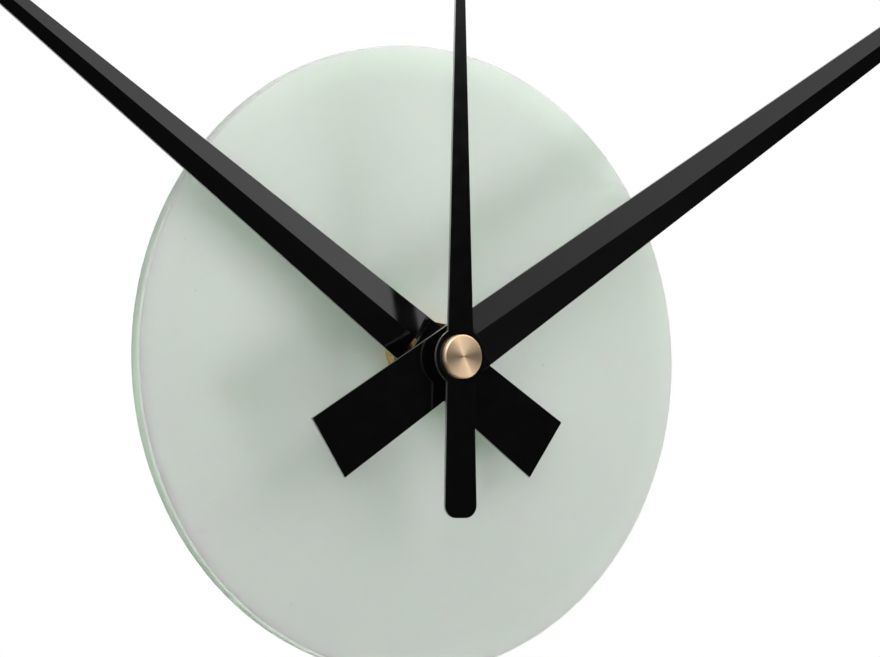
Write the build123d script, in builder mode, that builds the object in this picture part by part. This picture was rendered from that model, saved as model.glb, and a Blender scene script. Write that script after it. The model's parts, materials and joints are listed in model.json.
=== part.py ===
from build123d import *
import os
from math import cos, pi, radians, sin

os.makedirs("parts", exist_ok=True)

# Frame: +Z is up, the clock faces -Y, the wall is the plane y = 0 and the origin lies on the
# hand shaft. "Depth" is the distance in front of the wall.

# Shared gaps and cuts
cut_overrun = 2.0
running_fit = 0.06
turning_gap = 0.3
assembly_gap = 0.15

# Glass disc
disc_radius = 50.0
glass_thickness = 2.5
glass_arris = 0.3

# Hands, with the front faces of their sheets measured from the front of the glass
sheet = 0.45
hour_plane = 5.2
minute_plane = 9.87
second_plane = 12.17
hour_angle = -55.2
minute_angle = 57.55
second_angle = 0
fold_rise_share = 0.16
fold_fade_share = 0.01
fold_start = 4.4
fold_fade = 1.1
crease_centred = 50.0

hour_length = 108.0
hour_tail = 25.2
hour_tail_width = 10.8
hour_tip_width = 2.2
hour_crease_offset = -0.2

minute_length = 168.0
minute_tail = 26.6
minute_tail_width = 10.75
minute_tip_width = 2.4
minute_crease_offset = 1.0

second_length = 74.0
second_hub_radius = 4.57
second_width = 4.8
second_tip_width = 0.8
second_tail = 25.1
second_tail_width = 5.9
second_tail_corner = 2.0

cap_radius = 3.42
cap_thickness = 0.92
cap_edge = 0.18

# Collets that hold the hands on their arbors
hour_collet_flange_radius = 3.8
hour_collet_thickness = 1.0
minute_collet_flange_radius = 2.6
minute_collet_thickness = 1.2
collet_lip = 0.5
collet_wall = 0.55
second_tube_radius = 0.95

# Threaded bush and what is clamped on it
bush_thread_radius = 4.0
bush_collar_radius = 5.0
bush_above_nut = 0.6
bush_chamfer = 0.4
nut_across_flats = 12.0
nut_turn = -9
nut_thickness = 2.2
nut_chamfer = 0.45
nut_clearance = 0.05
brass_washer_thickness = 0.5
brass_washer_radius = 5.9
rubber_washer_thickness = 0.8
rubber_washer_radius = 12.0
glass_hole_clearance = 0.25

# Battery, AA size
battery_radius = 7.1
battery_body_length = 49.2
battery_nub_length = 1.1
battery_nub_radius = 2.75
battery_edge = 0.5
battery_groove_depth = 0.25
battery_groove_width = 0.8
battery_play = 0.3

# Movement case
case_wall = 1.2
front_wall = 1.4
back_wall = 1.2
case_corner = 3.0
case_top = 28.0
case_edge = 0.5
bay_wall = 0.8
bay_wall_stop = 1.2
contact_room = 2.2
cover_lip = 1.0
cover_lip_height = 1.2
cover_fit = 0.1

# Snap latches of the cover, in windows of the case's top wall
latch_spread = 13.0
latch_width = 5.0
latch_length = 4.6
latch_thickness = 0.8
latch_barb = 0.7
latch_gap = 0.15

# Thumb notch in the battery bay's lower wall
notch_radius = 7.0

# Hanger eye at the top of the back cover
eye_hole_radius = 3.0
eye_rim = 2.4
eye_thickness = 2.0

# Train layout: the modules that set the distances between the arbors, and the directions
# of the arbors as seen from the front
rotor_module = 0.25
second_module = 0.3
setting_module = 0.5
third_direction = 150
intermediate_direction = -5
rotor_direction = 60
setting_direction = 80

# Tooth counts
rotor_leaves = 12
intermediate_teeth = 60
intermediate_leaves = 10
second_teeth = 60
second_leaves = 8
third_teeth = 60
third_leaves = 8
centre_teeth = 64
minute_leaves = 12
setting_teeth = 36
setting_leaves = 10
hour_teeth = 40

# Tooth flanks from root to tip: the height over the pitch circle as a share of the module,
# and the thickness there as a share of the tooth pitch
leaf_flank_shares = ((-1.0, 0.44), (0.9, 0.16))
wheel_flank_shares = ((-1.0, 0.6), (0.75, 0.24))
leaf_limit = 16

# Arbors and wheels
second_arbor_radius = 0.5
minute_tube_radius = 1.6
minute_tube_bore = 0.58
hour_tube_radius = 2.55
thin_arbor_radius = 0.5
pivot_radius = 0.3
pivot_length = 0.8
stem_radius = 0.9
stem_pivot_radius = 0.6
hub_radius = 2.4
wheel_thickness = 0.8
hour_wheel_thickness = 0.9
setting_wheel_thickness = 1.0
leaf_margin = 0.25
layer_gap = 0.4
plate_thickness = 1.0
post_radius = 1.5
post_pin_radius = 0.8
post_inset = 4.4
boss_radius = 1.7

# Rotor, stator, coil
magnet_radius = 2.0
magnet_thickness = 1.8
stator_thickness = 0.8
stator_gap = 0.45
stator_ring = 1.6
stator_limb_width = 4.0
stator_arm_width = 3.0
stator_arm_reach = 12.2
stator_overhang = 0.4
core_width = 2.2
core_thickness = 0.8
core_clearance = 0.1
coil_inset = 0.2
coil_gap = 0.3
coil_flange_half = 3.2
coil_flange_thickness = 0.9
coil_winding_radius = 2.9
coil_sleeve_radius = 1.6
coil_arm_gap = 0.3
standoff_radius = 1.2

# Circuit board and its parts
board_width = 6.7
board_length = 25.0
board_thickness = 0.8
board_inset = 0.4
crystal_radius = 1.0
crystal_length = 6.2
crystal_edge = 0.3
crystal_z = 8.0
chip_radius = 2.4
chip_thickness = 1.1
chip_edge = 0.5
chip_z = -3.0

# Battery contacts
contact_thickness = 0.3
contact_width = 5.0
contact_height_share = 0.75
contact_tail_overlap = 1.2
contact_leaf_share = 0.5

# Setting knob
knob_radius = 4.5
knob_thickness = 1.7
knob_ridges = 16
knob_ridge_shares = ((-0.9, 0.8), (0, 0.3))
knob_recess_gap = 1.0
knob_set_back = 0.4
knob_slot_width = 1.0
knob_slot_depth = 0.6

# Depths of the case and of what is clamped in front of it
case_depth = 2 * battery_radius + 3 * battery_play + front_wall + assembly_gap * 2
front_wall_inside = case_depth - front_wall
glass_back = case_depth + rubber_washer_thickness
glass_front = glass_back + glass_thickness
nut_back = glass_front + brass_washer_thickness
nut_front = nut_back + nut_thickness
hour_front = glass_front + hour_plane
minute_front = glass_front + minute_plane
second_front = glass_front + second_plane
second_back = second_front - sheet

# Depths of the wheels, counted back from the front wall
hour_wheel_front = front_wall_inside - turning_gap
hour_wheel_back = hour_wheel_front - hour_wheel_thickness
setting_wheel_front = hour_wheel_back - leaf_margin - layer_gap
setting_wheel_back = setting_wheel_front - setting_wheel_thickness
minute_leaves_front = setting_wheel_front + leaf_margin
minute_leaves_back = setting_wheel_back - leaf_margin
plate_front = minute_leaves_back - turning_gap
plate_back = plate_front - plate_thickness
centre_wheel_front = plate_back - layer_gap
centre_wheel_back = centre_wheel_front - wheel_thickness
third_leaves_front = centre_wheel_front + leaf_margin / 2
third_wheel_front = centre_wheel_back - layer_gap
third_wheel_back = third_wheel_front - wheel_thickness
second_leaves_front = third_wheel_front + leaf_margin
second_wheel_front = third_wheel_back - layer_gap
second_wheel_back = second_wheel_front - wheel_thickness
intermediate_leaves_front = second_wheel_front + leaf_margin
intermediate_wheel_front = second_wheel_back - layer_gap
intermediate_wheel_back = intermediate_wheel_front - wheel_thickness
rotor_leaves_front = intermediate_wheel_front + leaf_margin
rotor_leaves_back = intermediate_wheel_back - leaf_margin
boss_front = rotor_leaves_back - 2 * turning_gap
arbor_back = boss_front + turning_gap
arbor_front = plate_back - turning_gap / 2

# Places in the plane of the wall: x to the right, z up
inner_top = case_top - case_wall
rotor_reach = rotor_module * (rotor_leaves + intermediate_teeth) / 2
train_reach = second_module * (intermediate_leaves + second_teeth) / 2
setting_reach = setting_module * (minute_leaves + setting_teeth) / 2


def polar(reach, direction, centre=(0, 0)):
    return (
        centre[0] + reach * cos(radians(direction)),
        centre[1] + reach * sin(radians(direction)),
    )


third_place = polar(train_reach, third_direction)
intermediate_place = polar(train_reach, intermediate_direction)
rotor_place = polar(rotor_reach, rotor_direction, intermediate_place)
setting_place = polar(setting_reach, setting_direction)

# Modules of the pairs that share those distances
third_module = 2 * train_reach / (second_leaves + third_teeth)
centre_module = 2 * train_reach / (third_leaves + centre_teeth)
hour_module = 2 * setting_reach / (setting_leaves + hour_teeth)
hour_wheel_reach = hour_module * (hour_teeth / 2 + wheel_flank_shares[-1][0])

# Half the width inside the case: the battery with its contacts or the train with its coil
battery_half_width = (battery_body_length + battery_nub_length + contact_room) / 2
stator_ring_radius = magnet_radius + stator_gap + stator_ring
coil_reach = stator_ring_radius + coil_gap + 2 * coil_flange_half + coil_inset
inner_half_width = max(battery_half_width, rotor_place[0] + coil_reach)
case_half_width = inner_half_width + case_wall

# The battery bay lies under the motion work
bay_wall_top = -(hour_wheel_reach + 2 * turning_gap)
bay_wall_bottom = bay_wall_top - bay_wall
battery_z = bay_wall_bottom - battery_play - battery_radius
battery_depth = front_wall_inside - battery_play - battery_radius
inner_bottom = battery_z - battery_radius - battery_play
case_bottom = inner_bottom - case_wall
case_middle = (case_top + case_bottom) / 2
case_height = case_top - case_bottom
bay_wall_middle = (bay_wall_top + bay_wall_bottom) / 2


def facing(depth, place=(0, 0), turn=0):
    """Plane at a depth in front of the wall, seen from the front: local x right, local y up."""
    return Plane(
        origin=(place[0], -depth, place[1]),
        x_dir=(cos(radians(turn)), 0, sin(radians(turn))),
        z_dir=(0, -1, 0),
    )


def axial(place=(0, 0)):
    """Half plane through an arbor: local x is the radius, local y the depth."""
    return Plane(origin=(place[0], 0, place[1]), x_dir=(1, 0, 0), z_dir=(0, 0, -1))


def arbor_axis(place=(0, 0)):
    return Axis((place[0], 0, place[1]), (0, -1, 0))


def hand_plane(angle, depth):
    """Plane of a hand's sheet: local x runs from the shaft to the tip."""
    return Plane(
        origin=(0, -depth, 0),
        x_dir=(sin(radians(angle)), 0, cos(radians(angle))),
        z_dir=(0, -1, 0),
    )


def along_hand(angle, reach, depth):
    """Plane square to a hand at a distance along it: local y points to the viewer."""
    return Plane(
        origin=(reach * sin(radians(angle)), -depth, reach * cos(radians(angle))),
        x_dir=(-cos(radians(angle)), 0, sin(radians(angle))),
        z_dir=(sin(radians(angle)), 0, cos(radians(angle))),
    )


def across(place, height):
    """Plane facing right at a place along x: local x is the depth, local y runs downwards."""
    return Plane(origin=(place, 0, height), x_dir=(0, -1, 0), z_dir=(1, 0, 0))


def toothed_outline(teeth, module, phase, flank_shares):
    """Points of a toothed outline, with a tooth centred on the phase angle."""
    pitch = 2 * pi / teeth
    points = []
    for number in range(teeth):
        middle = radians(phase) + number * pitch
        for side, steps in ((-1, flank_shares), (1, flank_shares[::-1])):
            for height_share, thickness_share in steps:
                radius = module * (teeth / 2 + height_share)
                angle = middle + side * thickness_share * pitch / 2
                points.append((radius * cos(angle), radius * sin(angle)))
    return points


def gear(place, back, front, teeth, module, phase):
    """Adds a toothed disc between two depths to the part being built."""
    flank_shares = leaf_flank_shares if teeth <= leaf_limit else wheel_flank_shares
    with BuildSketch(facing(back, place)) as outline:
        with BuildLine():
            Polyline(*toothed_outline(teeth, module, phase, flank_shares), close=True)
        make_face()
    extrude(outline.sketch, amount=front - back)


def turned(place, start, steps, mode=Mode.ADD):
    """Adds or cuts a stepped round bar: each step is a radius and the depth that it reaches."""
    points = [(0, start)]
    depth = start
    for radius, end in steps:
        points += [(radius, depth), (radius, end)]
        depth = end
    with BuildSketch(axial(place)) as outline:
        with BuildLine():
            Polyline(*points, (0, depth), close=True)
        make_face()
    revolve(outline.sketch, axis=arbor_axis(place), mode=mode)


def ring(place, back, front, outer, inner):
    """Adds a flat ring between two depths."""
    with BuildSketch(facing(back, place)) as outline:
        Circle(outer)
        if inner:
            Circle(inner, mode=Mode.SUBTRACT)
    extrude(outline.sketch, amount=front - back)


def bored(place, back, front, radius):
    """Cuts a round hole between two depths."""
    with BuildSketch(facing(back, place)) as outline:
        Circle(radius)
    extrude(outline.sketch, amount=front - back, mode=Mode.SUBTRACT)


def finish(part, name):
    part.part.label = name
    export_step(part.part, f"parts/{name}.step")


# Glass disc with ground arrises and a hole for the bush
with BuildPart() as glass_disc:
    with BuildSketch(facing(glass_back)):
        Circle(disc_radius)
        Circle(bush_thread_radius + glass_hole_clearance, mode=Mode.SUBTRACT)
    extrude(amount=glass_thickness)
    chamfer(glass_disc.edges().filter_by(GeomType.CIRCLE).group_by(SortBy.RADIUS)[-1], glass_arris)
finish(glass_disc, "glass_disc")

with BuildPart() as rubber_washer:
    ring((0, 0), case_depth, glass_back, rubber_washer_radius, bush_thread_radius + nut_clearance)
finish(rubber_washer, "rubber_washer")

with BuildPart() as brass_washer:
    ring((0, 0), glass_front, nut_back, brass_washer_radius, bush_thread_radius + nut_clearance)
finish(brass_washer, "brass_washer")

# Hexagonal nut, its corners turned down to a cone at both faces
with BuildPart() as hex_nut:
    with BuildSketch(facing(nut_back)):
        RegularPolygon(nut_across_flats / 2, 6, major_radius=False, rotation=nut_turn)
    extrude(amount=nut_thickness)
    corner_radius = nut_across_flats / 2 / cos(pi / 6)
    with BuildSketch(axial()):
        with BuildLine():
            Polyline(
                (0, nut_back),
                (corner_radius - nut_chamfer, nut_back),
                (corner_radius, nut_back + nut_chamfer / 2),
                (corner_radius, nut_front - nut_chamfer / 2),
                (corner_radius - nut_chamfer, nut_front),
                (0, nut_front),
                close=True,
            )
        make_face()
    revolve(axis=arbor_axis(), mode=Mode.INTERSECT)
    bored((0, 0), nut_back - cut_overrun, nut_front + cut_overrun, bush_thread_radius + nut_clearance)
finish(hex_nut, "hex_nut")

# Bush: a collar set in the front wall and a threaded neck that the hour tube runs in
with BuildPart() as threaded_bush:
    turned(
        (0, 0),
        front_wall_inside,
        ((bush_collar_radius, case_depth), (bush_thread_radius, nut_front + bush_above_nut)),
    )
    chamfer(threaded_bush.edges().filter_by(GeomType.CIRCLE).sort_by(Axis.Y)[0], bush_chamfer)
    bored(
        (0, 0),
        front_wall_inside - cut_overrun,
        nut_front + bush_above_nut + cut_overrun,
        hour_tube_radius + running_fit,
    )
finish(threaded_bush, "threaded_bush")

# Front case: a tray open to the back, with the battery bay under a partition wall
post_places = (
    (-inner_half_width + post_inset + board_width, bay_wall_top + post_inset / 2),
    (inner_half_width - post_inset - 2 * coil_flange_half, bay_wall_top + post_inset / 2),
    (-inner_half_width + post_inset + board_width, inner_top - post_inset),
    (inner_half_width - post_inset - 2 * coil_flange_half, inner_top - post_inset),
)
with BuildPart() as front_case:
    with BuildSketch(facing(0, (0, case_middle))):
        RectangleRounded(2 * case_half_width, case_height, case_corner)
    extrude(amount=case_depth)
    chamfer(front_case.faces().sort_by(Axis.Y)[0].edges(), case_edge)
    with BuildSketch(facing(-cut_overrun, (0, case_middle))):
        RectangleRounded(
            2 * inner_half_width, case_height - 2 * case_wall, case_corner - case_wall
        )
    extrude(amount=front_wall_inside + cut_overrun, mode=Mode.SUBTRACT)
    with BuildSketch(facing(-cut_overrun, (0, bay_wall_bottom))):
        Rectangle(
            2 * (case_half_width + cut_overrun),
            case_height,
            align=(Align.CENTER, Align.MIN),
        )
    extrude(amount=back_wall + cut_overrun, mode=Mode.SUBTRACT)
    with BuildSketch(facing(back_wall, (0, bay_wall_middle))):
        Rectangle(2 * (inner_half_width - bay_wall_stop), bay_wall)
    extrude(amount=front_wall_inside - back_wall)
    with BuildSketch(Plane.XY.offset(case_bottom - cut_overrun)):
        Circle(notch_radius)
    extrude(amount=case_wall + 2 * cut_overrun, mode=Mode.SUBTRACT)
    with BuildSketch(Plane.XY.offset(inner_top - cut_overrun)):
        with Locations(*((side * latch_spread, latch_barb - latch_length) for side in (-1, 1))):
            Rectangle(latch_width + 2 * latch_gap, 2 * (latch_barb + latch_gap))
    extrude(amount=case_wall + 2 * cut_overrun, mode=Mode.SUBTRACT)
    for place in post_places:
        turned(place, plate_back, ((post_pin_radius, plate_front), (post_radius, front_wall_inside)))
    bored((0, 0), front_wall_inside - cut_overrun, case_depth + cut_overrun, bush_collar_radius)
    turned(
        setting_place,
        front_wall_inside - cut_overrun,
        ((stem_pivot_radius + running_fit, front_wall_inside + pivot_length + turning_gap),),
        Mode.SUBTRACT,
    )
finish(front_case, "front_case")

# Back cover: a plate over the train, with the hanger eye, the knob's dish and pivot bosses
dish_radius = knob_radius + knob_recess_gap
dish_floor = knob_set_back + knob_thickness + turning_gap
eye_radius = eye_hole_radius + eye_rim
lip_bottom = bay_wall_top + cover_fit
lip_top = inner_top - cover_fit
boss_places = ((0, 0), third_place, intermediate_place, rotor_place)
with BuildPart() as back_cover:
    with BuildSketch(facing(0, (0, case_middle))):
        RectangleRounded(2 * case_half_width, case_height, case_corner)
        with Locations((0, bay_wall_bottom - case_middle)):
            Rectangle(
                2 * case_half_width + cut_overrun,
                case_height,
                align=(Align.CENTER, Align.MAX),
                mode=Mode.SUBTRACT,
            )
    extrude(amount=back_wall)
    with BuildSketch(facing(0, (0, case_top))):
        Rectangle(2 * eye_radius, eye_radius, align=(Align.CENTER, Align.MIN))
        with Locations((0, eye_radius)):
            Circle(eye_radius)
            Circle(eye_hole_radius, mode=Mode.SUBTRACT)
    extrude(amount=eye_thickness)
    with BuildSketch(facing(back_wall, (0, (lip_top + lip_bottom) / 2))):
        lip_half_width = inner_half_width - cover_fit
        lip_height = lip_top - lip_bottom
        Rectangle(2 * lip_half_width, lip_height)
        Rectangle(
            2 * (lip_half_width - cover_lip),
            lip_height - 2 * cover_lip,
            mode=Mode.SUBTRACT,
        )
        fillet(vertices().group_by(SortBy.DISTANCE)[-1], case_corner - case_wall)
    extrude(amount=cover_lip_height)
    for side in (-1, 1):
        with BuildSketch(across(side * latch_spread - latch_width / 2, lip_top)):
            with BuildLine():
                Polyline(
                    (0, 0),
                    (latch_length - 2 * latch_barb, 0),
                    (latch_length - latch_barb, -latch_barb),
                    (latch_length, 0),
                    (latch_length, latch_thickness),
                    (0, latch_thickness),
                    close=True,
                )
            make_face()
        extrude(amount=latch_width)
    ring(setting_place, 0, dish_floor + back_wall, dish_radius + back_wall, 0)
    bored(setting_place, -cut_overrun, dish_floor, dish_radius)
    bored(setting_place, 0, case_depth, stem_radius + running_fit)
    for place in boss_places:
        turned(place, back_wall, ((boss_radius, boss_front),))
        bored(place, boss_front - pivot_length - turning_gap, case_depth, pivot_radius + running_fit)
finish(back_cover, "back_cover")

# Bearing plate between the motion work and the going train
stator_back = plate_back - coil_flange_half + core_thickness / 2
stator_front = stator_back + stator_thickness
standoff_places = tuple(
    (rotor_place[0], rotor_place[1] + side * stator_arm_reach) for side in (-1, 1)
)
plate_bottom = bay_wall_top + assembly_gap
plate_top = inner_top - assembly_gap
with BuildPart() as bearing_plate:
    with BuildSketch(facing(plate_back, (0, (plate_top + plate_bottom) / 2))):
        RectangleRounded(
            2 * (inner_half_width - assembly_gap),
            plate_top - plate_bottom,
            case_corner - case_wall,
        )
    extrude(amount=plate_thickness)
    for place in standoff_places:
        turned(place, stator_front, ((standoff_radius, plate_back),))
    bored((0, 0), plate_back - cut_overrun, plate_front + cut_overrun, minute_tube_radius + running_fit)
    bored(setting_place, plate_back - cut_overrun, plate_front + cut_overrun, stem_radius + running_fit)
    for place in post_places:
        bored(place, plate_back - cut_overrun, plate_front + cut_overrun, post_pin_radius)
    for place in boss_places[1:]:
        bored(place, plate_back - cut_overrun, plate_front + cut_overrun, pivot_radius + running_fit)
finish(bearing_plate, "bearing_plate")

# Stator: a lamination with the rotor's hole, its two arms resting on the coil core's ends
coil_x = inner_half_width - coil_inset - coil_flange_half
coil_depth = plate_back - coil_flange_half
limb_left = rotor_place[0] - stator_limb_width / 2
arm_length = coil_x + core_width / 2 + stator_overhang - limb_left
with BuildPart() as stator_plate:
    with BuildSketch(facing(stator_back, rotor_place)):
        Rectangle(stator_limb_width, 2 * stator_arm_reach + stator_arm_width)
        with Locations(*((-stator_limb_width / 2, side * stator_arm_reach) for side in (-1, 1))):
            Rectangle(arm_length, stator_arm_width, align=(Align.MIN, Align.CENTER))
        Circle(stator_ring_radius)
        Circle(magnet_radius + stator_gap, mode=Mode.SUBTRACT)
    extrude(amount=stator_thickness)
finish(stator_plate, "stator_plate")

coil_place = (coil_x, rotor_place[1])
with BuildPart() as coil_core:
    with BuildSketch(facing(coil_depth - core_thickness / 2, coil_place)):
        Rectangle(core_width, 2 * stator_arm_reach + stator_arm_width)
    extrude(amount=core_thickness)
finish(coil_core, "coil_core")

# Bobbin: a slotted sleeve between two square flanges, with the winding on it
bobbin_half_length = stator_arm_reach - stator_arm_width / 2 - coil_arm_gap


def coil_section(height):
    """Plane across the coil: local x right, local y towards the wall."""
    return Plane(
        origin=(coil_x, -coil_depth, rotor_place[1] + height), x_dir=(1, 0, 0), z_dir=(0, 0, 1)
    )


with BuildPart() as coil_bobbin:
    with BuildSketch(coil_section(-bobbin_half_length)):
        Circle(coil_sleeve_radius)
    extrude(amount=2 * bobbin_half_length)
    for height in (-bobbin_half_length, bobbin_half_length - coil_flange_thickness):
        with BuildSketch(coil_section(height)):
            Rectangle(2 * coil_flange_half, 2 * coil_flange_half)
        extrude(amount=coil_flange_thickness)
    with BuildSketch(coil_section(-bobbin_half_length - cut_overrun)):
        Rectangle(core_width + core_clearance, core_thickness + core_clearance)
    extrude(amount=2 * (bobbin_half_length + cut_overrun), mode=Mode.SUBTRACT)
finish(coil_bobbin, "coil_bobbin")

with BuildPart() as coil_winding:
    with BuildSketch(coil_section(-bobbin_half_length + coil_flange_thickness)):
        Circle(coil_winding_radius)
        Circle(coil_sleeve_radius, mode=Mode.SUBTRACT)
    extrude(amount=2 * (bobbin_half_length - coil_flange_thickness))
finish(coil_winding, "coil_winding")

# Circuit board on the bearing plate, with its crystal can and its potted chip
board_back = plate_back - board_thickness
board_left = -inner_half_width + board_inset
board_middle_x = board_left + board_width / 2
with BuildPart() as circuit_board:
    with BuildSketch(facing(board_back, (board_left, plate_bottom))):
        Rectangle(board_width, board_length, align=(Align.MIN, Align.MIN))
    extrude(amount=board_thickness)
finish(circuit_board, "circuit_board")

with BuildPart() as quartz_crystal:
    crystal_depth = board_back - crystal_radius
    with BuildSketch(
        Plane(origin=(board_middle_x, -crystal_depth, crystal_z), x_dir=(1, 0, 0), z_dir=(0, 0, 1))
    ):
        Circle(crystal_radius)
    extrude(amount=crystal_length)
    chamfer(quartz_crystal.edges().filter_by(GeomType.CIRCLE).sort_by(Axis.Z)[-1], crystal_edge)
finish(quartz_crystal, "quartz_crystal")

with BuildPart() as chip_potting:
    turned(
        (board_middle_x, chip_z),
        board_back - chip_thickness,
        ((chip_radius, board_back),),
    )
    chamfer(chip_potting.edges().filter_by(GeomType.CIRCLE).sort_by(Axis.Y)[-1], chip_edge)
finish(chip_potting, "chip_potting")

# Battery with crimped ends, its cap resting on the positive contact
battery_right = inner_half_width - contact_thickness
battery_left = battery_right - battery_nub_length - battery_body_length
with BuildPart() as battery_cell:
    with BuildSketch(facing(battery_depth, (battery_left, battery_z))):
        with BuildLine():
            groove = battery_body_length - 2 * battery_groove_width
            Polyline(
                (0, 0),
                (0, battery_radius - battery_edge),
                (battery_edge, battery_radius),
                (groove, battery_radius),
                (groove, battery_radius - battery_groove_depth),
                (groove + battery_groove_width, battery_radius - battery_groove_depth),
                (groove + battery_groove_width, battery_radius),
                (battery_body_length - battery_edge, battery_radius),
                (battery_body_length, battery_radius - battery_edge),
                (battery_body_length, battery_nub_radius),
                (battery_body_length + battery_nub_length, battery_nub_radius),
                (battery_body_length + battery_nub_length, 0),
                close=True,
            )
        make_face()
    revolve(axis=Axis((0, -battery_depth, battery_z), (1, 0, 0)))
finish(battery_cell, "battery_cell")

# Contacts: sheet strips on the bay's end walls whose tails run over the partition to the board
contact_foot = battery_z - battery_radius * contact_height_share
contact_head = bay_wall_top + contact_thickness / 2
contact_line = inner_half_width - contact_thickness / 2
with BuildPart() as positive_contact:
    with BuildSketch(facing(board_back - contact_width)):
        with BuildLine():
            Polyline(
                (contact_line, contact_foot),
                (contact_line, contact_head),
                (board_left + board_width - contact_tail_overlap, contact_head),
            )
        trace(line_width=contact_thickness)
    extrude(amount=contact_width)
finish(positive_contact, "positive_contact")

leaf_half = battery_radius * contact_leaf_share
with BuildPart() as negative_contact:
    with BuildSketch(facing(board_back - contact_width)):
        with BuildLine():
            Polyline(
                (-contact_line, contact_foot),
                (-contact_line, contact_head),
                (board_left + contact_tail_overlap, contact_head),
            )
        trace(line_width=contact_thickness)
    extrude(amount=contact_width)
    with BuildSketch(facing(board_back - contact_width)):
        with BuildLine():
            ThreePointArc(
                (-contact_line, battery_z - leaf_half),
                (battery_left - contact_thickness, battery_z),
                (-contact_line, battery_z + leaf_half),
            )
        trace(line_width=contact_thickness)
    extrude(amount=contact_width)
finish(negative_contact, "negative_contact")

# Rotor: an arbor with leaves, and the ring magnet pressed on it
magnet_back = (stator_back + stator_front - magnet_thickness) / 2
with BuildPart() as rotor_pinion:
    gear(
        rotor_place,
        rotor_leaves_back,
        rotor_leaves_front,
        rotor_leaves,
        rotor_module,
        rotor_direction + 180 + 180 / rotor_leaves,
    )
    turned(
        rotor_place,
        boss_front - pivot_length,
        (
            (pivot_radius, arbor_back),
            (thin_arbor_radius, arbor_front),
            (pivot_radius, plate_back + pivot_length),
        ),
    )
finish(rotor_pinion, "rotor_pinion")

with BuildPart() as rotor_magnet:
    ring(rotor_place, magnet_back, magnet_back + magnet_thickness, magnet_radius, thin_arbor_radius)
finish(rotor_magnet, "rotor_magnet")

with BuildPart() as intermediate_wheel:
    gear(
        intermediate_place,
        intermediate_wheel_back,
        intermediate_wheel_front,
        intermediate_teeth,
        rotor_module,
        rotor_direction,
    )
    gear(
        intermediate_place,
        intermediate_wheel_front,
        intermediate_leaves_front,
        intermediate_leaves,
        second_module,
        intermediate_direction + 180 + 180 / intermediate_leaves,
    )
    turned(
        intermediate_place,
        boss_front - pivot_length,
        (
            (pivot_radius, arbor_back),
            (thin_arbor_radius, arbor_front),
            (pivot_radius, plate_back + pivot_length),
        ),
    )
finish(intermediate_wheel, "intermediate_wheel")

# Second wheel, its leaves and the long arbor that carries the second hand
with BuildPart() as second_wheel:
    gear(
        (0, 0),
        second_wheel_back,
        second_wheel_front,
        second_teeth,
        second_module,
        intermediate_direction,
    )
    gear(
        (0, 0),
        second_wheel_front,
        second_leaves_front,
        second_leaves,
        third_module,
        third_direction,
    )
    turned(
        (0, 0),
        boss_front - pivot_length,
        ((pivot_radius, arbor_back), (second_arbor_radius, second_back)),
    )
finish(second_wheel, "second_wheel")

with BuildPart() as third_wheel:
    gear(
        third_place,
        third_wheel_back,
        third_wheel_front,
        third_teeth,
        third_module,
        third_direction + 180 + 180 / third_teeth,
    )
    gear(
        third_place,
        third_wheel_front,
        third_leaves_front,
        third_leaves,
        centre_module,
        third_direction + 180,
    )
    turned(
        third_place,
        boss_front - pivot_length,
        (
            (pivot_radius, arbor_back),
            (thin_arbor_radius, arbor_front),
            (pivot_radius, plate_back + pivot_length),
        ),
    )
finish(third_wheel, "third_wheel")

# Centre wheel: a friction fit on the minute arbor, so that the hands can be set
with BuildPart() as centre_wheel:
    gear(
        (0, 0),
        centre_wheel_back,
        centre_wheel_front,
        centre_teeth,
        centre_module,
        third_direction + 180 / centre_teeth,
    )
    ring((0, 0), centre_wheel_back, arbor_front, hub_radius, 0)
    bored(
        (0, 0),
        centre_wheel_back - cut_overrun,
        arbor_front + cut_overrun,
        minute_tube_radius + running_fit,
    )
finish(centre_wheel, "centre_wheel")

# Minute arbor: a tube with twelve leaves, running on the second arbor
minute_tube_front = minute_front + collet_lip
with BuildPart() as minute_arbor:
    gear(
        (0, 0),
        minute_leaves_back,
        minute_leaves_front,
        minute_leaves,
        setting_module,
        setting_direction,
    )
    ring((0, 0), centre_wheel_back, minute_tube_front, minute_tube_radius, 0)
    bored(
        (0, 0),
        centre_wheel_back - cut_overrun,
        minute_tube_front + cut_overrun,
        minute_tube_bore,
    )
finish(minute_arbor, "minute_arbor")

# Setting wheel: meshes with the minute leaves, and its own leaves with the hour wheel
knob_front = knob_set_back + knob_thickness
with BuildPart() as setting_wheel:
    gear(
        setting_place,
        setting_wheel_back,
        setting_wheel_front,
        setting_teeth,
        setting_module,
        setting_direction + 180 + 180 / setting_teeth,
    )
    gear(
        setting_place,
        setting_wheel_front,
        hour_wheel_front,
        setting_leaves,
        hour_module,
        setting_direction + 180,
    )
    turned(
        setting_place,
        (knob_set_back + knob_front) / 2,
        (
            (stem_radius, hour_wheel_front),
            (stem_pivot_radius, front_wall_inside + pivot_length),
        ),
    )
finish(setting_wheel, "setting_wheel")

# Setting knob: a knurled disc with a coin slot, pressed on the setting wheel's stem
knob_module = 2 * knob_radius / knob_ridges
with BuildPart() as setting_knob:
    with BuildSketch(facing(knob_set_back, setting_place)):
        with BuildLine():
            Polyline(*toothed_outline(knob_ridges, knob_module, 0, knob_ridge_shares), close=True)
        make_face()
    extrude(amount=knob_thickness)
    with BuildSketch(facing(knob_set_back, setting_place)):
        SlotOverall(knob_radius, knob_slot_width)
    extrude(amount=knob_slot_depth, mode=Mode.SUBTRACT)
    bored(setting_place, (knob_set_back + knob_front) / 2, knob_front + cut_overrun, stem_radius)
finish(setting_knob, "setting_knob")

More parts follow.
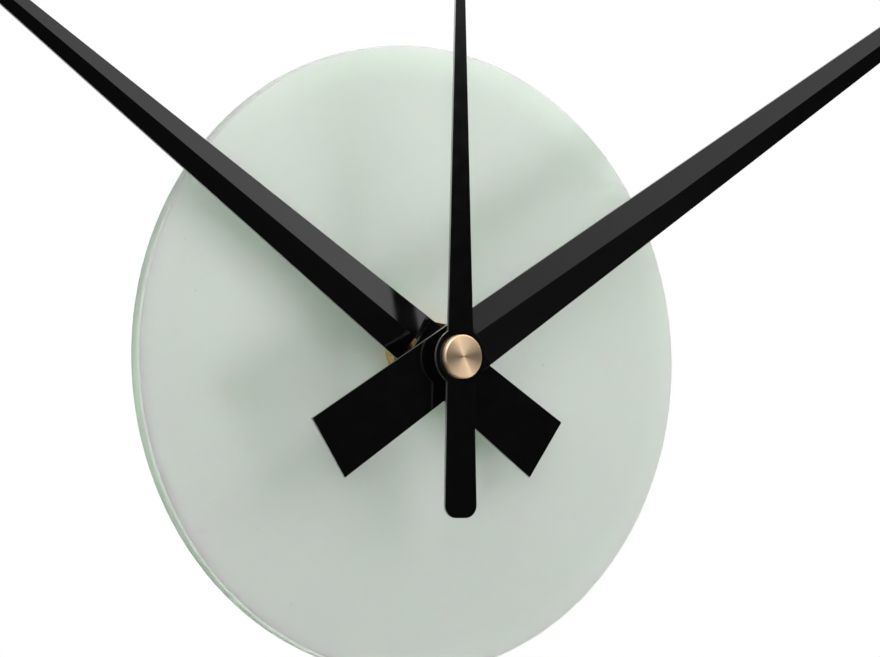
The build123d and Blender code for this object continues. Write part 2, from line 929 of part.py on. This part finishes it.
# Hour wheel and its tube
hour_tube_front = hour_front + collet_lip
with BuildPart() as hour_wheel:
    gear(
        (0, 0),
        hour_wheel_back,
        hour_wheel_front,
        hour_teeth,
        hour_module,
        setting_direction + 180 / hour_teeth,
    )
    ring((0, 0), hour_wheel_back, hour_tube_front, hour_tube_radius, 0)
    bored(
        (0, 0),
        hour_wheel_back - cut_overrun,
        hour_tube_front + cut_overrun,
        minute_tube_radius + running_fit,
    )
finish(hour_wheel, "hour_wheel")


def folded_hand(angle, front, length, tail, tail_width, tip_width, crease_offset, hole_radius):
    """A tapered sheet hand: flat tail and hub, then a lengthwise crease that rises to the viewer.

    The crease starts beside the hand's middle and reaches it further out.
    """
    back = front - sheet

    def half_width(reach):
        return (tail_width + (tip_width - tail_width) * (reach + tail) / (length + tail)) / 2

    with BuildPart() as hand:
        with BuildSketch(hand_plane(angle, back)):
            with BuildLine():
                Polyline(
                    (-tail, -half_width(-tail)),
                    (fold_start, -half_width(fold_start)),
                    (fold_start, half_width(fold_start)),
                    (-tail, half_width(-tail)),
                    close=True,
                )
            make_face()
            Circle(hole_radius, mode=Mode.SUBTRACT)
        extrude(amount=sheet)
        for reach, rise_share, crease in (
            (fold_start, fold_fade_share, crease_offset),
            (fold_start + fold_fade, fold_rise_share, crease_offset),
            (crease_centred, fold_rise_share, 0),
            (length, fold_rise_share, 0),
        ):
            half = half_width(reach)
            rise = half * rise_share
            with BuildSketch(along_hand(angle, reach, back)):
                with BuildLine():
                    Polyline(
                        (-half, 0),
                        (crease, rise),
                        (half, 0),
                        (half, sheet),
                        (crease, rise + sheet),
                        (-half, sheet),
                        close=True,
                    )
                make_face()
        loft(ruled=True)
    return hand


hour_neck_radius = hour_tube_radius + collet_wall
hour_hand = folded_hand(
    hour_angle,
    hour_front,
    hour_length,
    hour_tail,
    hour_tail_width,
    hour_tip_width,
    hour_crease_offset,
    hour_neck_radius,
)
finish(hour_hand, "hour_hand")

minute_neck_radius = minute_tube_radius + collet_wall
minute_hand = folded_hand(
    minute_angle,
    minute_front,
    minute_length,
    minute_tail,
    minute_tail_width,
    minute_tip_width,
    minute_crease_offset,
    minute_neck_radius,
)
finish(minute_hand, "minute_hand")


def collet(front, thickness, flange_radius, neck_radius, bore_radius):
    """A flanged sleeve that clamps a hand on its tube."""
    back = front - sheet
    with BuildPart() as sleeve:
        turned((0, 0), back - thickness, ((flange_radius, back), (neck_radius, front)))
        bored((0, 0), back - thickness - cut_overrun, front + cut_overrun, bore_radius)
    return sleeve


hour_collet = collet(
    hour_front,
    hour_collet_thickness,
    hour_collet_flange_radius,
    hour_neck_radius,
    hour_tube_radius,
)
finish(hour_collet, "hour_collet")

minute_collet = collet(
    minute_front,
    minute_collet_thickness,
    minute_collet_flange_radius,
    minute_neck_radius,
    minute_tube_radius,
)
finish(minute_collet, "minute_collet")

# Second hand: flat sheet with a round hub and a tail with rounded corners
with BuildPart() as second_hand:
    with BuildSketch(hand_plane(second_angle, second_back)):
        with BuildLine():
            Polyline(
                (0, -second_width / 2),
                (second_length, -second_tip_width / 2),
                (second_length, second_tip_width / 2),
                (0, second_width / 2),
                (-second_tail, second_tail_width / 2),
                (-second_tail, -second_tail_width / 2),
                close=True,
            )
        make_face()
        fillet(vertices().group_by(Axis.X)[0], second_tail_corner)
        Circle(second_hub_radius)
        Circle(second_tube_radius, mode=Mode.SUBTRACT)
    extrude(amount=sheet)
finish(second_hand, "second_hand")

# Tube under the second hand, pressed on the second arbor
second_tube_back = minute_tube_front + turning_gap
with BuildPart() as second_tube:
    turned((0, 0), second_tube_back, ((second_tube_radius, second_front),))
    bored((0, 0), second_tube_back - cut_overrun, second_back, second_arbor_radius)
finish(second_tube, "second_tube")

# Cap over the hub, its rim broken by a small chamfer
with BuildPart() as second_cap:
    turned((0, 0), second_front, ((cap_radius, second_front + cap_thickness),))
    chamfer(second_cap.edges().filter_by(GeomType.CIRCLE).sort_by(Axis.Y)[0], cap_edge)
finish(second_cap, "second_cap")
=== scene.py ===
import json
import math

import bmesh
import bpy
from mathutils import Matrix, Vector


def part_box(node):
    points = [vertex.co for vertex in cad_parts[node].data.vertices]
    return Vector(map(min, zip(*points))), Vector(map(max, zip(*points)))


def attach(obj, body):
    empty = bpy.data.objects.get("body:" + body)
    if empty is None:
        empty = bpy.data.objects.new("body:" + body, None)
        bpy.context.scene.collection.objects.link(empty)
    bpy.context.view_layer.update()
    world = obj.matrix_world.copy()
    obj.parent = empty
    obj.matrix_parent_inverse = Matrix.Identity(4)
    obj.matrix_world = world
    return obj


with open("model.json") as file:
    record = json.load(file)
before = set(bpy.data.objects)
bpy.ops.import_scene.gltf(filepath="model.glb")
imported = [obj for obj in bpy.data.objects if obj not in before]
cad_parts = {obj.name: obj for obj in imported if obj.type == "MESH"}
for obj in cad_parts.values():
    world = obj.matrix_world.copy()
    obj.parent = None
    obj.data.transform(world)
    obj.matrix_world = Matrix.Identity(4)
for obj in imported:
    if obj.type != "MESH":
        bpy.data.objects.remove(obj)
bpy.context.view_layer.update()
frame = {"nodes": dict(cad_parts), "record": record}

# Units and places read from the frame. The clock faces -Y and its hand shaft is the Y axis.
MM = 0.001
glass_low, glass_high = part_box("glass_disc")
glass_front = glass_low.y
glass_back = glass_high.y
disc_radius = glass_high.x
washer_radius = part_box("rubber_washer")[1].x
dial_centre = Vector((0, glass_front, 0))

# The photograph's frame and camera, with the dial's centre where the picture shows it
image_width, image_height = 880, 657
focal_pixels = 3145
dial_pixel = (419.5, 359.1)
camera_azimuth, camera_elevation = -31.957, -2.064
camera_distance = 0.5
sensor_width = 36.0

# Lamps: degrees to the right and up from straight ahead of the dial, metres away and across, and watts
lamps = {
    "side_light": dict(azimuth=49, elevation=-24, distance=0.7, size=0.25, power=2.00),
    "fill_light": dict(azimuth=35, elevation=30, distance=0.7, size=0.60, power=1.90),
    "left_light": dict(azimuth=-45, elevation=25, distance=0.7, size=0.50, power=1.36),
    "back_light": dict(azimuth=150, elevation=35, distance=0.7, size=0.60, power=4.2),
    "overhead_light": dict(azimuth=-8, elevation=62, distance=0.25, size=0.18, power=0.42, shadow=False),
    "glint_light": dict(azimuth=60, elevation=-29, distance=0.7, size=0.14, power=0.9, shiny=True),
}

# World, mirrored in shiny surfaces: a bright room behind the clock, and in front a dark studio with
# four soft boxes. An edge or a side is the range over which a box comes up, in the X, Y or Z of the
# direction looked in. Where a level is a pair, it rises from the first to the second along the side.
studio_dark = 0.012
room_edge = (0.02, 0.12)
room_level = 1.0
softbox_edge = (0.115, 0.20)
softbox_side = (0.25, 0.72)
softbox_level = (0.46, 1.68)
high_edge = (0.40, 0.58)
high_level = 1.6
low_edge = (-0.06, -0.18)
low_side = (0.30, 0.65)
low_level = (0.0225, 0.09)
left_edge = (-0.15, -0.45)
left_level = 0.45
white_level = 1.0

# Floor: where it lies along Z, its half width, and how much it is lifted for the camera
floor_height = -0.6
floor_half = 1.2
floor_lift = 0.35

# Coating on the back of the glass
coating_thickness = 0.05 * MM
coating_inset = 0.4 * MM
coating_steps = 180

# Tints of the glass: how far in from the disc's edge, or out from the washer's, each one fades. Near the
# border and over the washer the tint is painted green light, for green light that the scattering loses there
rim_fade = (0.34 * MM, 0.24 * MM)
border_painted_light_fade = (6.0 * MM, 0.3 * MM)
washer_painted_light_fade = (4.0 * MM, -2.0 * MM)

# Heights, in shares of the disc's radius, between which its ground edge goes from pale to dark: painted
# light, paler low down where light piped through the glass leaves it
edge_painted_light_shares = (-0.2, 0.7)

# Battery wrap, in shares of the battery's length: where the bare ends stop, and the pale band's start
bare_low_shares = (0.012, 0.014)
bare_high_shares = (0.040, 0.038)
band_shares = (0.27, 0.268)

# Rounds on the sharp edges of the pieces nearest the camera
edge_rounds = {
    "hour_hand": 0.09 * MM,
    "minute_hand": 0.09 * MM,
    "second_hand": 0.09 * MM,
    "second_cap": 0.05 * MM,
    "hex_nut": 0.06 * MM,
}
weld_reach = 0.002 * MM
round_segments = 2
sharp_edge = math.radians(55)
sharp_crease = math.radians(10)

# The range that most of a noise's values keep to, and how squarely a hand's surface may face along Y
# before it stops being a bare cut
noise_range = (0.3, 0.7)
cut_range = (0.35, 0.55)


def direction(azimuth, elevation):
    """The unit vector from the dial: azimuth 0 is straight ahead, 90 to the right."""
    turn, rise = math.radians(azimuth), math.radians(elevation)
    return Vector((math.sin(turn) * math.cos(rise), -math.cos(turn) * math.cos(rise), math.sin(rise)))


def add_camera():
    data = bpy.data.cameras.new("camera")
    data.sensor_width = sensor_width
    data.lens = focal_pixels * sensor_width / image_width
    data.shift_x = (image_width / 2 - dial_pixel[0]) / image_width
    data.shift_y = (dial_pixel[1] - image_height / 2) / image_width
    camera = bpy.data.objects.new("camera", data)
    bpy.context.scene.collection.objects.link(camera)
    away = direction(camera_azimuth, camera_elevation)
    camera.location = dial_centre + camera_distance * away
    camera.rotation_euler = away.to_track_quat("Z", "Y").to_euler()
    bpy.context.scene.camera = camera


def add_lamp(name, azimuth, elevation, distance, size, power, shiny=False, shadow=True):
    """A round lamp that faces the dial's centre. A shiny one shows in glossy surfaces alone."""
    data = bpy.data.lights.new(name, "AREA")
    data.shape = "DISK"
    data.size = size
    data.energy = power
    data.use_shadow = shadow
    lamp = bpy.data.objects.new(name, data)
    bpy.context.scene.collection.objects.link(lamp)
    away = direction(azimuth, elevation)
    lamp.location = dial_centre + distance * away
    lamp.rotation_euler = away.to_track_quat("Z", "Y").to_euler()
    lamp.visible_camera = False
    lamp.visible_diffuse = not shiny
    lamp.visible_glossy = shiny


def fill_socket(socket, value):
    """Links the socket where the value is another node's socket, and otherwise sets it."""
    if isinstance(value, bpy.types.NodeSocket):
        socket.id_data.links.new(value, socket)
    else:
        socket.default_value = value


def node(tree, kind, inputs=None, **settings):
    """Adds a shader node, sets its properties and fills its inputs, given by name or number."""
    made = tree.nodes.new(kind)
    for name, value in settings.items():
        setattr(made, name, value)
    for name, value in (inputs or {}).items():
        fill_socket(made.inputs[name], value)
    return made


def put(shader, **values):
    """Fills sockets of the shader by name, with underscores for spaces."""
    for name, value in values.items():
        fill_socket(shader.inputs[name.replace("_", " ")], value)


def calc(tree, operation, *values):
    """The output socket of a math node."""
    return node(tree, "ShaderNodeMath", dict(enumerate(values)), operation=operation).outputs[0]


def ramp(tree, value, low, high, to_low=0.0, to_high=1.0, kind="SMOOTHSTEP"):
    """Maps a value from one range to another, by default with soft ends."""
    limits = {"Value": value, "From Min": low, "From Max": high, "To Min": to_low, "To Max": to_high}
    return node(tree, "ShaderNodeMapRange", limits, interpolation_type=kind).outputs["Result"]


def vary(tree, value, low, high):
    """Spreads a noise value between two limits."""
    return ramp(tree, value, *noise_range, low, high)


def rgb(red, green, blue):
    """A colour value, with its alpha of 1."""
    return red, green, blue, 1.0


def grey(level):
    return rgb(level, level, level)


def grey_link(tree, value):
    """A grey colour socket from a number socket."""
    return node(tree, "ShaderNodeCombineColor", {0: value, 1: value, 2: value}).outputs[0]


def blend_colours(tree, share, first, second, mode="MIX"):
    """The colour socket of a mix of two colours."""
    inputs = {0: share, 6: first, 7: second}
    return node(tree, "ShaderNodeMix", inputs, data_type="RGBA", blend_type=mode).outputs[2]


def place(tree):
    """The object's own coordinates, which turn with the piece."""
    return node(tree, "ShaderNodeTexCoord").outputs["Object"]


def axes(tree, vector):
    """The X, Y and Z sockets of a vector."""
    return node(tree, "ShaderNodeSeparateXYZ", {0: vector}).outputs


def noise(tree, scale, detail=4.0, roughness=0.5, vector=None):
    """A noise value between 0 and 1. The scale is in cells per metre."""
    settings = {"Vector": vector or place(tree), "Scale": scale, "Detail": detail, "Roughness": roughness}
    return node(tree, "ShaderNodeTexNoise", settings).outputs["Fac"]


def streaks(tree, scales):
    """Noise that is drawn out along the axes with the smaller scales."""
    stretched = node(tree, "ShaderNodeMapping", {"Vector": place(tree), "Scale": scales}).outputs["Vector"]
    return noise(tree, 1.0, 3.0, 0.6, stretched)


def shaft_radius(tree):
    """The distance from the hand shaft."""
    x, _, z = axes(tree, place(tree))
    squares = [calc(tree, "MULTIPLY", side, side) for side in (x, z)]
    return calc(tree, "SQRT", calc(tree, "ADD", *squares))


def rings(tree, scale, detail, roughness):
    """Noise in rings round the hand shaft, as a lathe or a brush leaves it."""
    ring_place = node(tree, "ShaderNodeCombineXYZ", {"X": shaft_radius(tree)}).outputs[0]
    return noise(tree, scale, detail, roughness, ring_place)


def new_material(name):
    material = bpy.data.materials.new(name)
    material.use_nodes = True
    tree = material.node_tree
    return material, tree, tree.nodes["Principled BSDF"]


def relief(tree, shader, height, depth):
    """Fine relief: a height between 0 and 1 stands for the given depth in metres."""
    bump = node(tree, "ShaderNodeBump", {"Height": height, "Distance": depth, "Strength": 1.0})
    put(shader, Normal=bump.outputs[0])


def add_world():
    """What shiny surfaces mirror. The camera, and what is seen through glass, has plain white."""
    world = bpy.data.worlds.new("studio")
    bpy.context.scene.world = world
    world.use_nodes = True
    world.cycles_visibility.diffuse = False
    tree = world.node_tree
    tree.nodes.clear()
    x, y, z = axes(tree, node(tree, "ShaderNodeTexCoord").outputs["Generated"])
    across = ramp(tree, x, *softbox_side, *softbox_level)
    softbox = calc(tree, "MULTIPLY", ramp(tree, z, *softbox_edge), across)
    high_box = ramp(tree, z, *high_edge, 0.0, high_level)
    low_box = calc(tree, "MULTIPLY", ramp(tree, z, *low_edge), ramp(tree, x, *low_side, *low_level))
    left_box = ramp(tree, x, *left_edge, 0.0, left_level)
    front = studio_dark
    for box in (softbox, high_box, low_box, left_box):
        front = calc(tree, "ADD", front, box)
    surround = blend_colours(tree, ramp(tree, y, *room_edge), grey_link(tree, front), grey(room_level))
    rays = node(tree, "ShaderNodeLightPath").outputs
    plain = calc(tree, "MAXIMUM", rays["Is Camera Ray"], rays["Is Transmission Ray"])
    colour = blend_colours(tree, plain, surround, grey(white_level))
    background = node(tree, "ShaderNodeBackground", {"Color": colour, "Strength": 1.0})
    node(tree, "ShaderNodeOutputWorld", {"Surface": background.outputs[0]})


def floor_paint():
    """Pale matt paint, lifted a little for the camera alone."""
    material, tree, shader = new_material("floor_paint")
    colour = blend_colours(tree, noise(tree, 40.0, 3.0), rgb(0.80, 0.80, 0.79), rgb(0.84, 0.84, 0.83))
    lift = calc(tree, "MULTIPLY", node(tree, "ShaderNodeLightPath").outputs["Is Camera Ray"], floor_lift)
    put(shader, Base_Color=colour, Roughness=0.8, Emission_Color=rgb(1.0, 1.0, 0.99), Emission_Strength=lift)
    return material


def add_floor():
    corners = [(-1, -1), (1, -1), (1, 1), (-1, 1)]
    mesh = bpy.data.meshes.new("floor")
    mesh.from_pydata([(floor_half * x, floor_half * y, floor_height) for x, y in corners], [], [(0, 1, 2, 3)])
    mesh.materials.append(floor_paint())
    floor = bpy.data.objects.new("floor", mesh)
    bpy.context.scene.collection.objects.link(floor)


def revolved(name, profile, steps):
    """A piece turned round the hand shaft from a closed profile of radii and places along Y."""
    points, faces = [], []
    count = len(profile)
    for step in range(steps):
        turn = 2 * math.pi * step / steps
        points += [(radius * math.cos(turn), along, radius * math.sin(turn)) for radius, along in profile]
        here, following = step * count, (step + 1) % steps * count
        for side in range(count):
            other = (side + 1) % count
            faces.append((here + side, here + other, following + other, following + side))
    mesh = bpy.data.meshes.new(name)
    mesh.from_pydata(points, [], faces)
    shape = bmesh.new()
    shape.from_mesh(mesh)
    bmesh.ops.recalc_face_normals(shape, faces=shape.faces)
    shape.to_mesh(mesh)
    shape.free()
    piece = bpy.data.objects.new(name, mesh)
    bpy.context.scene.collection.objects.link(piece)
    return piece


def coating_paint():
    """Pale green paint."""
    material, tree, shader = new_material("coating_paint")
    colour = blend_colours(tree, noise(tree, 60.0, 4.0), rgb(0.50, 0.56, 0.50), rgb(0.56, 0.61, 0.56))
    grain = noise(tree, 2500.0, 3.0)
    put(shader, Base_Color=colour, Roughness=vary(tree, grain, 0.50, 0.62))
    relief(tree, shader, grain, 0.008 * MM)
    return material


def add_coating():
    """The paint on the back of the glass, from the rubber washer nearly out to the disc's edge."""
    inner = washer_radius
    outer = disc_radius - coating_inset
    near, far = glass_back, glass_back + coating_thickness
    profile = [(inner, near), (outer, near), (outer, far), (inner, far)]
    piece = revolved("glass_coating", profile, coating_steps)
    piece.data.materials.append(coating_paint())
    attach(piece, "clock_body")


def glass_face(tree, radius):
    """The tint of the flat faces: cloudy, with sparse specks, and with painted green light near the washer
    and the border, for green light that the scattering loses there.
    """
    clear = blend_colours(tree, noise(tree, 28.0, 2.0), rgb(0.570, 0.588, 0.566), rgb(0.584, 0.602, 0.580))
    specks = node(tree, "ShaderNodeTexVoronoi", {"Vector": place(tree), "Scale": 130.0}, feature="F1")
    speck = ramp(tree, specks.outputs["Distance"], 0.02, 0.045, 0.9, 1.0)
    face = blend_colours(tree, 1.0, clear, grey_link(tree, speck), "MULTIPLY")
    # Painted green light over the washer and near the border, for green light that the scattering loses there
    over_washer = ramp(tree, radius, *[washer_radius + reach for reach in washer_painted_light_fade])
    face = blend_colours(tree, over_washer, face, rgb(0.600, 0.668, 0.603))
    border = ramp(tree, radius, *[disc_radius - reach for reach in border_painted_light_fade])
    return blend_colours(tree, border, face, rgb(0.588, 0.634, 0.583))


def satin_glass():
    """Pale green glass with a satin front and a ground edge, painted paler low down and darker up top for
    light piped through the glass that leaves it low down.
    """
    material, tree, shader = new_material("satin_glass")
    radius = shaft_radius(tree)
    height = axes(tree, place(tree))["Z"]
    # Painted light: the ground edge's colour is paler low down and darker up top
    upper = ramp(tree, height, *[share * disc_radius for share in edge_painted_light_shares])
    edge = blend_colours(tree, upper, rgb(0.92, 0.97, 0.91), rgb(0.50, 0.55, 0.50))
    rim = ramp(tree, radius, *[disc_radius - reach for reach in rim_fade])
    mist = noise(tree, 9000.0, 2.0)
    put(shader, Base_Color=blend_colours(tree, rim, glass_face(tree, radius), edge))
    put(shader, Roughness=vary(tree, mist, 0.36, 0.44), IOR=1.5)
    relief(tree, shader, mist, 0.004 * MM)
    shader.subsurface_method = "BURLEY"
    put(shader, Subsurface_Weight=1.0, Subsurface_Radius=(0.52, 1.0, 0.52), Subsurface_Scale=10 * MM)
    return material


def hand_lacquer():
    """Black gloss lacquer with a faint orange peel, on sheet aluminium that is bare where it was cut."""
    material, tree, shader = new_material("hand_lacquer")
    deep, pale = rgb(0.0018, 0.0018, 0.0019), rgb(0.0028, 0.0028, 0.0030)
    coat = blend_colours(tree, noise(tree, 90.0, 3.0), deep, pale)
    facing = calc(tree, "ABSOLUTE", axes(tree, node(tree, "ShaderNodeTexCoord").outputs["Normal"])["Y"])
    bare = ramp(tree, facing, *cut_range, 1.0, 0.0)
    cut_marks = streaks(tree, (4000.0, 20000.0, 4000.0))
    metal = blend_colours(tree, cut_marks, rgb(0.36, 0.36, 0.36), rgb(0.52, 0.52, 0.51))
    gloss = vary(tree, noise(tree, 400.0, 4.0), 0.09, 0.14)
    rough = ramp(tree, bare, 0.0, 1.0, gloss, 0.42, "LINEAR")
    put(shader, Base_Color=blend_colours(tree, bare, coat, metal), Metallic=bare, Roughness=rough, IOR=1.5)
    relief(tree, shader, noise(tree, 1400.0, 2.0), 0.002 * MM)
    return material


def brushed_copper():
    """Rose copper, turned so that the brushing runs round the shaft."""
    material, tree, shader = new_material("copper")
    brushing = rings(tree, 14000.0, 3.0, 0.7)
    put(shader, Base_Color=blend_colours(tree, brushing, rgb(0.90, 0.64, 0.41), rgb(1.0, 0.75, 0.50)))
    tangent = node(tree, "ShaderNodeTangent", direction_type="RADIAL", axis="Y")
    put(shader, Tangent=tangent.outputs[0], Anisotropic=0.85, Anisotropic_Rotation=0.25)
    put(shader, Metallic=1.0, Roughness=0.38)
    relief(tree, shader, brushing, 0.003 * MM)
    return material


def turned_brass():
    """Yellow brass with fine turning marks."""
    material, tree, shader = new_material("brass")
    patch = noise(tree, 300.0, 4.0)
    put(shader, Base_Color=blend_colours(tree, patch, rgb(0.80, 0.50, 0.13), rgb(0.92, 0.66, 0.24)))
    put(shader, Metallic=1.0, Roughness=vary(tree, patch, 0.18, 0.30))
    relief(tree, shader, rings(tree, 9000.0, 2.0, 0.6), 0.003 * MM)
    return material


def rolled_steel():
    """Steel strip with streaks along its rolling direction."""
    material, tree, shader = new_material("steel")
    rolling = streaks(tree, (300.0, 9000.0, 9000.0))
    put(shader, Base_Color=blend_colours(tree, rolling, rgb(0.42, 0.42, 0.42), rgb(0.60, 0.60, 0.59)))
    put(shader, Metallic=1.0, Roughness=ramp(tree, rolling, 0.2, 0.8, 0.25, 0.42))
    relief(tree, shader, rolling, 0.004 * MM)
    return material


def wound_wire():
    """Enamelled copper wire: fine turns side by side."""
    material, tree, shader = new_material("copper_wire")
    wave = {"Vector": place(tree), "Scale": 1600.0, "Distortion": 0.4}
    height = node(tree, "ShaderNodeTexWave", wave, bands_direction="X").outputs["Fac"]
    # Painted shade: the colour darkens with the wave down into the grooves between turns
    put(shader, Base_Color=blend_colours(tree, height, rgb(0.30, 0.10, 0.04), rgb(0.72, 0.32, 0.14)))
    put(shader, Metallic=0.85, Roughness=0.25)
    relief(tree, shader, height, 0.05 * MM)
    return material


def battery_wrap():
    """A plain printed wrap with a pale band, and bare metal ends."""
    material, tree, shader = new_material("battery_can")
    low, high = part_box("battery_cell")
    length = high.x - low.x
    along = axes(tree, place(tree))["X"]
    bare_low = ramp(tree, along, *[low.x + share * length for share in bare_low_shares], 1.0, 0.0)
    bare_high = ramp(tree, along, *[high.x - share * length for share in bare_high_shares])
    bare = calc(tree, "MAXIMUM", bare_low, bare_high)
    band = ramp(tree, along, *[high.x - share * length for share in band_shares])
    body = blend_colours(tree, noise(tree, 500.0, 2.0), rgb(0.028, 0.055, 0.075), rgb(0.034, 0.064, 0.086))
    wrap = blend_colours(tree, band, body, rgb(0.52, 0.54, 0.55))
    scuff = noise(tree, 220.0, 5.0)
    put(shader, Base_Color=blend_colours(tree, bare, wrap, rgb(0.62, 0.61, 0.58)))
    put(shader, Metallic=bare, Roughness=vary(tree, scuff, 0.22, 0.34))
    relief(tree, shader, scuff, 0.006 * MM)
    return material


def plain_finish(name, dark, light, roughness, grain_scale, grain_depth, coarse=60.0, **sockets):
    """A moulded, rolled or painted surface: two close tones, an uneven gloss and a fine grain."""
    material, tree, shader = new_material(name)
    grain = noise(tree, grain_scale, 3.0)
    put(shader, Base_Color=blend_colours(tree, noise(tree, coarse, 5.0), dark, light))
    put(shader, Roughness=vary(tree, grain, *roughness), **sockets)
    relief(tree, shader, grain, grain_depth)
    return material


plain_finishes = {
    "rubber": dict(
        dark=rgb(0.018, 0.018, 0.018), light=rgb(0.030, 0.030, 0.029),
        roughness=(0.62, 0.78), grain_scale=2500.0, grain_depth=0.010 * MM,
    ),
    "case_plastic": dict(
        dark=rgb(0.010, 0.010, 0.011), light=rgb(0.014, 0.014, 0.015),
        roughness=(0.38, 0.50), grain_scale=3200.0, grain_depth=0.012 * MM,
    ),
    "frame_plastic": dict(
        dark=rgb(0.68, 0.67, 0.62), light=rgb(0.74, 0.73, 0.69),
        roughness=(0.36, 0.46), grain_scale=2600.0, grain_depth=0.006 * MM,
    ),
    "gear_plastic": dict(
        dark=rgb(0.74, 0.72, 0.66), light=rgb(0.80, 0.79, 0.74),
        roughness=(0.22, 0.32), grain_scale=1800.0, grain_depth=0.003 * MM,
        Subsurface_Weight=0.2, Subsurface_Scale=1 * MM,
    ),
    "board": dict(
        dark=rgb(0.34, 0.20, 0.07), light=rgb(0.44, 0.28, 0.11), coarse=900.0,
        roughness=(0.45, 0.60), grain_scale=1600.0, grain_depth=0.008 * MM,
    ),
    "potting": dict(
        dark=rgb(0.006, 0.006, 0.006), light=rgb(0.010, 0.010, 0.010),
        roughness=(0.12, 0.20), grain_scale=500.0, grain_depth=0.010 * MM,
    ),
    "contact_metal": dict(
        dark=rgb(0.62, 0.61, 0.58), light=rgb(0.70, 0.69, 0.66), Metallic=1.0,
        roughness=(0.16, 0.28), grain_scale=1400.0, grain_depth=0.003 * MM,
    ),
    "magnet": dict(
        dark=rgb(0.035, 0.035, 0.036), light=rgb(0.055, 0.055, 0.056),
        roughness=(0.45, 0.58), grain_scale=4000.0, grain_depth=0.010 * MM,
    ),
}


def make_finishes():
    """The material of each slot that the record names."""
    finishes = {
        "satin_glass": satin_glass(),
        "hand_lacquer": hand_lacquer(),
        "copper": brushed_copper(),
        "brass": turned_brass(),
        "steel": rolled_steel(),
        "copper_wire": wound_wire(),
        "battery_can": battery_wrap(),
    }
    for name, values in plain_finishes.items():
        finishes[name] = plain_finish(name, **values)
    return finishes


def dress_nodes():
    """Gives each CAD node the finish of its material slot."""
    finishes = make_finishes()
    for entry in frame["record"]["subparts"]:
        piece = frame["nodes"][entry["node"]]
        piece.data.materials.clear()
        piece.data.materials.append(finishes[entry["material_slot"]])


def round_edges(name, width):
    """A narrow round on a piece's sharp edges, which catches the light. A hand's creases stay sharp."""
    piece = frame["nodes"][name]
    weld = piece.modifiers.new("weld", "WELD")
    weld.merge_threshold = weld_reach
    bevel = piece.modifiers.new("bevel", "BEVEL")
    bevel.width = width
    bevel.segments = round_segments
    bevel.limit_method = "ANGLE"
    bevel.angle_limit = sharp_edge
    bevel.harden_normals = True
    if name.endswith("_hand"):
        split = piece.modifiers.new("split", "EDGE_SPLIT")
        split.split_angle = sharp_crease


add_camera()
add_world()
for name, values in lamps.items():
    add_lamp(name, **values)
add_floor()
dress_nodes()
add_coating()
for name, width in edge_rounds.items():
    round_edges(name, width)

bpy.context.scene.view_settings.view_transform = "Standard"
